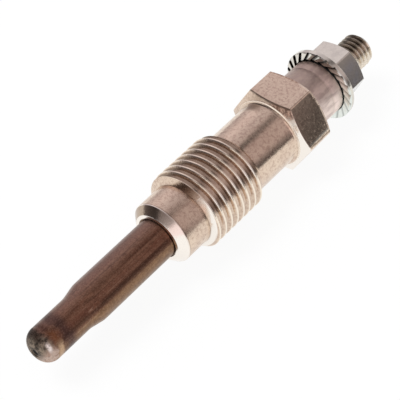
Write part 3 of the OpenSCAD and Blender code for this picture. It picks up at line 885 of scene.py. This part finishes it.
class OxidisedAlloy(Finish):
    """Brown oxide with drawn streaks, and heat tints towards the end of the tip with its soot, with
    painted light and shade above and below.
    """

    def __init__(self):
        super().__init__("oxidised_alloy", 0.9, OXIDE, 0.24)
        self.lines = self.noise(self.point, 2.6, 3, 0.6, (0.015, 1, 1))
        self.mottle = self.noise(self.point, 1.6, 4, 0.6)
        cloud = self.noise(self.point, 0.5, 2)
        self.from_tip = self.x - tip_end + (self.mottle - 0.5) * 1.1 + (cloud - 0.5) * 1.6
        self.end = self.fall(self.from_tip, 1.3, 1.9)
        self.upper = self.rise(self.upward, 0.3, 1.3)
        self.lower = self.fall(self.upward, -1.6, -0.4)

    def drawn_tube(self):
        """Streaks and lines along the tube, with a painted reflection as a pale band below a band of
        painted shade, and a painted sheen on top.
        """
        streaks = self.noise(self.point, 1.4, 3, 0.5, (0.05, 1, 1))
        self.lay(self.rise(streaks, 0.35, 0.65), OXIDE_STREAK)
        self.lay(self.rise(self.lines, 0.52, 0.64) * 0.6, OXIDE_LINE)
        self.lay(self.fall(self.lines, 0.3, 0.4) * 0.6, OXIDE_PALE_LINE)
        # Painted reflection: a pale band low on the tube
        self.lay(self.fall(self.upward, -2.0, -1.5) * 0.45, OXIDE_LOW_REFLECTION)
        # Painted shade: a dark band above the pale one
        self.lay(self.peak(self.upward, -1.35, 0.5) * 0.55, OXIDE_SHADE_BAND)
        self.lay(self.rise(self.mottle, 0.45, 0.6) * 0.3, OXIDE_MOTTLE)
        # Painted sheen on top of the tube
        self.lay(self.rise(self.upward, 0.5, 2.5) * 0.4, OXIDE_TOP_SHEEN)
        self.roughen(0.12 * streaks + 0.08 * self.mottle)

    def heat_tints_and_light(self):
        """Violet, then brown towards the tip, turned to straw below by a painted reflection and darkened
        on top by painted shade.
        """
        self.lay(self.peak(self.from_tip, 4.0, 1.5) * 0.85, TINT_VIOLET)
        # The brown tint is real; a painted reflection turns it to straw below, and painted shade darkens
        # it on top
        tint = self.blend(self.lower, TINT_BROWN, TINT_STRAW_REFLECTION)
        tint = self.blend(self.upper * 0.95, tint, TINT_SHADE)
        self.lay(self.peak(self.from_tip, 2.3, 0.9) * 0.85, tint)

    def end_soot_and_light(self):
        """Soot over the rounded end, blackened on top by painted shade and pale below from a painted
        reflection, with a painted glint.
        """
        soot_and_shade = self.blend(self.rise(self.mottle, 0.38, 0.62), SOOT, SOOT_PALE)
        # The soot is real; painted shade blackens it on top, and a painted reflection makes the end pale
        # below
        soot_and_shade = self.blend(self.upper * self.rise(self.from_tip, 0.2, 0.9) * 0.9, soot_and_shade, SOOT_TOP_SHADE)
        pale = self.blend(self.rise(self.mottle, 0.4, 0.65), TIP_PALE_REFLECTION, TIP_BROWN)
        self.lay(self.end, self.blend(self.lower * 0.9, soot_and_shade, pale))
        self.roughen(0.2 * self.end)
        # Painted glint on the near side of the rounded end
        glint = self.peak(self.x - tip_end, *GLINT_FROM_END) * self.peak(self.upward, *GLINT_UPWARD)
        glint = glint * self.rise(self.across(NEARWARD), 0.5, 1)
        self.lay(glint * (0.7 + 0.8 * self.rise(self.mottle, 0.4, 0.6)), TIP_GLINT)

    def grain_and_pit(self):
        """Fine grain all over, and a black pit in the middle of the end."""
        grain = self.noise(self.point, 5.5, 3, 0.6)
        self.lay(self.rise(grain, 0.52, 0.64) * 0.3, OXIDE_GRAIN)
        self.lay(self.fall(grain, 0.36, 0.48) * 0.22, OXIDE_PALE_GRAIN)
        self.lay(self.fall(self.radius, 0.35, 0.65) * self.end, TIP_PIT)


def oxidised_alloy():
    """Scale on the heater tube, from its drawn length to its tip."""
    finish = OxidisedAlloy()
    finish.drawn_tube()
    finish.heat_tints_and_light()
    finish.end_soot_and_light()
    finish.grain_and_pit()
    return finish.coat(finish.lines, 0.006)


# Zinc plate
ZINC = (0.78, 0.75, 0.67)
ZINC_STAIN = (0.68, 0.65, 0.59)
ZINC_GRAIN = (0.42, 0.39, 0.37)
ZINC_LOW_REFLECTION = (0.74, 0.75, 0.77)
ZINC_TEETH_HIGHLIGHT = (0.84, 0.90, 0.86)
ZINC_GROOVE_SHADE = (0.03, 0.026, 0.023)


def zinc_plate():
    """Cool bright zinc with a light grain, a painted reflection on the lower flats, a painted highlight on
    the lower teeth, and painted shade in the grooves of the flange.
    """
    finish = Finish("zinc_plate", 1.0, ZINC, 0.12)
    grain = finish.noise(finish.point, 4.5, 4, 0.65)
    stains = finish.noise(finish.point, 0.8, 3)
    finish.lay(finish.rise(stains, 0.35, 0.7), ZINC_STAIN)
    finish.lay(finish.rise(grain, 0.55, 0.75) * 0.4, ZINC_GRAIN)
    # Painted reflection, cooler, on the lower flats of the nut
    low_flats = finish.rise(finish.x, nut_seat + 1.2, nut_seat + 1.6)
    low_flats = low_flats * finish.fall(finish.upward, -1.5, 0.3)
    finish.lay(low_flats * (0.4 + 0.5 * finish.rise(stains, 0.45, 0.6)), ZINC_LOW_REFLECTION)
    # Painted highlight on the teeth on the lower side of the flange
    toothed = finish.fall(finish.x, nut_seat - 0.05, nut_seat + 0.05)
    toothed = toothed * finish.fall(finish.upward, -1.5, 1.5)
    finish.lay(toothed * 0.8, ZINC_TEETH_HIGHLIGHT)
    # Painted shade in the grooves between the teeth, lighter below
    groove = finish.between(finish.x, (tooth_tip + 0.06, tooth_tip + 0.14), (nut_seat, nut_seat + 0.1))
    groove = groove * finish.fall(finish.radius, FLANGE_R - 0.06, FLANGE_R - 0.01)
    groove = groove * (0.45 + 0.55 * finish.rise(finish.upward, -3, 1))
    finish.lay(groove * 0.9, ZINC_GROOVE_SHADE)
    finish.roughen(0.16 * grain + 0.12 * toothed)
    return finish.coat(grain, 0.006)


# Steel of the stud
STEEL = (0.86, 0.77, 0.65)
STEEL_DULL = (0.66, 0.57, 0.47)
STEEL_SHADE = (0.085, 0.067, 0.05)


def terminal_steel():
    """Yellowed steel thread, with painted shade between its crests and towards the top."""
    finish = Finish("terminal_steel", 1.0, STEEL, 0.18)
    grain = finish.noise(finish.point, 4, 4, 0.6)
    root = finish.fall(finish.radius, STUD_R - STUD_DEPTH, STUD_R - 0.1)
    top_shade = finish.rise(finish.upward, -0.8, 0.8)
    finish.lay(finish.rise(grain, 0.4, 0.7), STEEL_DULL)
    # Painted shade between the crests and towards the top
    finish.lay(root * 0.3 + top_shade * 0.66, STEEL_SHADE)
    finish.roughen(0.15 * grain)
    return finish.coat(grain, 0.006)


# Plastic of the bush
PLASTIC = (0.012, 0.012, 0.013)
PLASTIC_GRAIN = (0.025, 0.025, 0.026)


def black_plastic():
    """Moulded black plastic with a fine grain."""
    finish = Finish("black_plastic", 0.0, PLASTIC, 0.45)
    grain = finish.noise(finish.point, 8, 3)
    finish.lay(grain, PLASTIC_GRAIN)
    finish.roughen(0.2 * grain)
    return finish.coat(grain, 0.01)


# Wires of the two coils, bright and oxidised
HEATING_WIRE = (0.46, 0.42, 0.37)
HEATING_OXIDE = (0.24, 0.20, 0.17)
CONTROL_WIRE = (0.62, 0.58, 0.51)
CONTROL_OXIDE = (0.42, 0.38, 0.32)


def resistance_wire(name, bright, dull):
    """Drawn wire with a light oxide in patches."""
    finish = Finish(name, 1.0, bright, 0.28)
    oxide = finish.noise(finish.point, 2.5, 4, 0.6)
    finish.lay(finish.rise(oxide, 0.35, 0.65), dull)
    finish.roughen(0.2 * oxide)
    return finish.coat(oxide, 0.004)


# Filling of the sheath
POWDER = (0.78, 0.77, 0.72)
POWDER_GRAIN = (0.9, 0.89, 0.85)


def magnesia():
    """Packed white powder."""
    finish = Finish("packed_magnesia", 0.0, POWDER, 0.85)
    grains = finish.noise(finish.point, 12, 4, 0.7)
    finish.lay(grains, POWDER_GRAIN)
    finish.roughen(0.1 * grains)
    return finish.coat(grains, 0.03)


# Rubber of the seals
RUBBER = (0.02, 0.02, 0.021)
RUBBER_BLOOM = (0.05, 0.05, 0.052)


def seal_rubber():
    """Dark rubber with a faint bloom."""
    finish = Finish("seal_rubber", 0.0, RUBBER, 0.55)
    bloom = finish.noise(finish.point, 3, 4, 0.6)
    finish.lay(finish.rise(bloom, 0.45, 0.8), RUBBER_BLOOM)
    finish.roughen(0.25 * bloom)
    return finish.coat(bloom, 0.01)


# Studio, in metres and degrees: a pale bench in a light tent, and a near shade in what the plug mirrors
WHITE = (1, 1, 1)
SEEN_RAYS = ("Is Camera Ray", "Is Glossy Ray", "Is Transmission Ray")
AMBIENT = 0.75
BENCH_R = 0.1
BENCH_STEP = 5
BENCH_WHITE = 0.86
BENCH_GLOW = 0.92
TENT_R = 0.6
TENT_LEN = 4.0
TENT_STEPS = 48
TENT_EDGE = 110
# Levels of the tent by angle from overhead, in degrees, positive towards the front: over the plug,
# and beyond its heater, where a dark corner stands at the back
TENT_LEVELS = ((-100, 0.54), (-80, 0.64), (-56, 0.88), (-20, 0.62), (10, 0.52), (62, 0.56), (95, 0.6))
CORNER_LEVELS = (
    (-100, 0.3), (-90, 0.2), (-76, 0.12), (-60, 0.08), (-46, 0.08), (-38, 0.32), (30, 0.42), (50, 1.0))
CORNER_START = (0.15, 0.3)
BACK_TINT = (1.0, 0.91, 0.95)
FRONT_TINT = (1.0, 0.85, 0.85)
# Near shade over the plug: a dark slot overhead, a dark gap low at the front, and an opening across both
SHADE_R = 0.06
SHADE_EDGES = (-30, 95)
SHADE_ENDS = (-0.012, 0.2)
SHADE_LEVEL = 0.05
SLOT_ANGLE = 8.5
SLOT_HALF_WIDTH = 18
SLOT_SHARE = 0.85
GAP_ANGLES = (57, 90)
GAP_SHARE = 0.95
OPENING_PLACE = 0.026
OPENING_HALF_WIDTH = 0.014
OPENING_GAIN = 1.6
OPENING_SHARE = 0.95
KEY_POWER = 5.0
KEY_SIZE = 0.5
KEY_PLACE = Vector((-0.25, 0.35, 0.8))


def seen_directly(graph):
    """1 for rays from the camera, a mirror or glass, and 0 for those that light a surface."""
    camera, mirror, glass = (graph.node("LightPath", {}, {}, ray) for ray in SEEN_RAYS)
    return graph.math("MINIMUM", camera + mirror + glass, 1.0)


def make_world():
    """Even white world that lights at a plain level and shows as white."""
    world = bpy.data.worlds.new("studio_world")
    world.use_nodes = True
    graph = Graph(world.node_tree)
    background = world.node_tree.nodes["Background"]
    shown = seen_directly(graph)
    graph.feed(background.inputs["Color"], WHITE)
    graph.feed(background.inputs["Strength"], AMBIENT + (1 - AMBIENT) * shown)
    bpy.context.scene.world = world


def stage_material(name):
    """Material without a shader yet, its graph, and the socket that takes its shader."""
    material = bpy.data.materials.new(name)
    material.use_nodes = True
    nodes = material.node_tree.nodes
    nodes.remove(nodes["Principled BSDF"])
    return material, Graph(material.node_tree), nodes["Material Output"].inputs["Surface"]


def stage_piece(name, points, faces, material):
    """Object that belongs to the stage and not to the plug."""
    mesh = bpy.data.meshes.new(name)
    mesh.from_pydata(points, [], faces)
    mesh.materials.append(material)
    piece = bpy.data.objects.new(name, mesh)
    bpy.context.scene.collection.objects.link(piece)
    return piece


def make_bench():
    """Pale round bench that shows white and keeps a light shadow."""
    material, graph, surface = stage_material("bench")
    matt = graph.node("BsdfDiffuse", {}, {"Color": (BENCH_WHITE,) * 3})
    glow = graph.node("Emission", {}, {"Color": WHITE, "Strength": 1.0})
    share = seen_directly(graph) * BENCH_GLOW
    graph.feed(surface, graph.node("MixShader", {}, {0: share, 1: matt, 2: glow}))
    turns = np.radians(np.arange(0, 360, BENCH_STEP))
    rim = [(BENCH_R * math.cos(a), BENCH_R * math.sin(a), 0) for a in turns]
    stage_piece("bench", rim, [tuple(range(len(rim)))], material)


def tunnel(name, radius, edges, ends, material):
    """Part of a tunnel over the plug that neither shows nor shades, and that only mirrors see."""
    points = []
    for angle in np.radians(np.linspace(*edges, TENT_STEPS + 1)):
        for end in ends:
            points.append((end, -radius * math.sin(angle), radius * math.cos(angle) + AXIS_HEIGHT * MM))
    faces = [(2 * i, 2 * i + 1, 2 * i + 3, 2 * i + 2) for i in range(TENT_STEPS)]
    piece = stage_piece(name, points, faces, material)
    piece.visible_camera = False
    piece.visible_diffuse = False
    piece.visible_shadow = False


def tunnel_place(graph):
    """Place along a tunnel, in metres, and angle from overhead, in degrees."""
    here = graph.node("TexCoord", {}, {}, "Object")
    x, y, z = (graph.node("SeparateXYZ", {}, {0: here}, axis) for axis in "XYZ")
    angle = graph.math("ARCTAN2", 0 - y, z - AXIS_HEIGHT * MM)
    return x, angle * (180 / math.pi)


def make_tent():
    """Tunnel over the bench that only mirrors see, shaded by its angle from overhead."""
    material, graph, surface = stage_material("light_tent")
    x, angle = tunnel_place(graph)
    place = (angle + TENT_EDGE) / (2 * TENT_EDGE)

    def shades(levels):
        """Ramp of levels from edge to edge, tinted at the back and at the front."""
        stops = []
        for turn, level in levels:
            tint = BACK_TINT if turn < 0 else FRONT_TINT
            stops.append(((turn + TENT_EDGE) / (2 * TENT_EDGE), [level * part for part in tint]))
        return graph.node("ValToRGB", {"stops": stops}, {0: place})

    corner = graph.rise(0 - x, *CORNER_START)
    colour = graph.blend(corner, shades(TENT_LEVELS), shades(CORNER_LEVELS))
    graph.feed(surface, graph.node("Emission", {}, {"Color": colour, "Strength": 1.0}))
    tunnel("light_tent", TENT_R, (-TENT_EDGE, TENT_EDGE), (-TENT_LEN / 2, TENT_LEN / 2), material)


def make_shade():
    """Near card, mostly clear, that darkens what the plug mirrors overhead and low at the front."""
    material, graph, surface = stage_material("near_shade")
    x, angle = tunnel_place(graph)
    slot = graph.peak(angle, SLOT_ANGLE, SLOT_HALF_WIDTH) * SLOT_SHARE
    gap = graph.rise(angle, *GAP_ANGLES) * GAP_SHARE
    opening = OPENING_GAIN * graph.peak(x, OPENING_PLACE, OPENING_HALF_WIDTH)
    shade = (slot + gap) * (1 - graph.math("MINIMUM", opening, OPENING_SHARE))
    dark = graph.node("Emission", {}, {"Color": (SHADE_LEVEL,) * 3, "Strength": 1.0})
    clear = graph.node("BsdfTransparent", {}, {})
    graph.feed(surface, graph.node("MixShader", {}, {0: shade, 1: clear, 2: dark}))
    tunnel("near_shade", SHADE_R, SHADE_EDGES, SHADE_ENDS, material)


def make_key_light():
    """Soft lamp high at the back, which metal doesn't mirror."""
    lamp = bpy.data.lights.new("soft_key", "AREA")
    lamp.shape = "DISK"
    lamp.size = KEY_SIZE
    lamp.energy = KEY_POWER
    key = bpy.data.objects.new("soft_key", lamp)
    key.location = KEY_PLACE
    key.rotation_euler = KEY_PLACE.to_track_quat("Z", "Y").to_euler()
    key.visible_glossy = False
    bpy.context.scene.collection.objects.link(key)


# Camera, placed in millimetres from a point on the axis a little behind the front edge of the thread
CAMERA_STATION = 3.398
CAMERA_OFFSET = Vector((-106.18, -101.15, 156.95))
CAMERA_UP = Vector((0.59610, 0.42904, 0.67867))
CAMERA_BACK = Vector((-0.49426, -0.47004, 0.73128))
CAMERA_LENS = 144.08
CAMERA_SENSOR = 36.0
CAMERA_CLIP = 0.01


def make_camera():
    """Long lens over the heater's end, fitted to the photograph."""
    data = bpy.data.cameras.new("camera")
    data.sensor_width = CAMERA_SENSOR
    data.lens = CAMERA_LENS
    data.clip_start = CAMERA_CLIP
    camera = bpy.data.objects.new("camera", data)
    right = CAMERA_UP.cross(CAMERA_BACK)
    turn = Matrix((right, CAMERA_UP, CAMERA_BACK)).transposed().to_4x4()
    axis_point = Vector((thread_front + CAMERA_STATION, 0, AXIS_HEIGHT))
    camera.matrix_world = Matrix.Translation((axis_point + CAMERA_OFFSET) * MM) @ turn
    bpy.context.scene.collection.objects.link(camera)
    bpy.context.scene.camera = camera


def dress_inner_nodes():
    """Gives the sealed pieces inside the plug their finishes; their solids stay as they are."""
    rubber = seal_rubber()
    finishes = {
        "heating_coil": resistance_wire("heating_wire", HEATING_WIRE, HEATING_OXIDE),
        "control_coil": resistance_wire("control_wire", CONTROL_WIRE, CONTROL_OXIDE),
        "magnesia_filling": magnesia(),
        "sheath_seal": rubber,
        "seal_ring": rubber,
    }
    for node, finish in finishes.items():
        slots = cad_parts[node].data.materials
        slots.clear()
        slots.append(finish)


make_world()
make_bench()
make_tent()
make_shade()
make_key_light()
make_camera()
make_housing(nickel_plate())
make_sheath(oxidised_alloy())
make_terminal_rod(terminal_steel())
make_bush(black_plastic())
make_nut(zinc_plate())
dress_inner_nodes()
bpy.context.scene.view_settings.view_transform = "Standard"
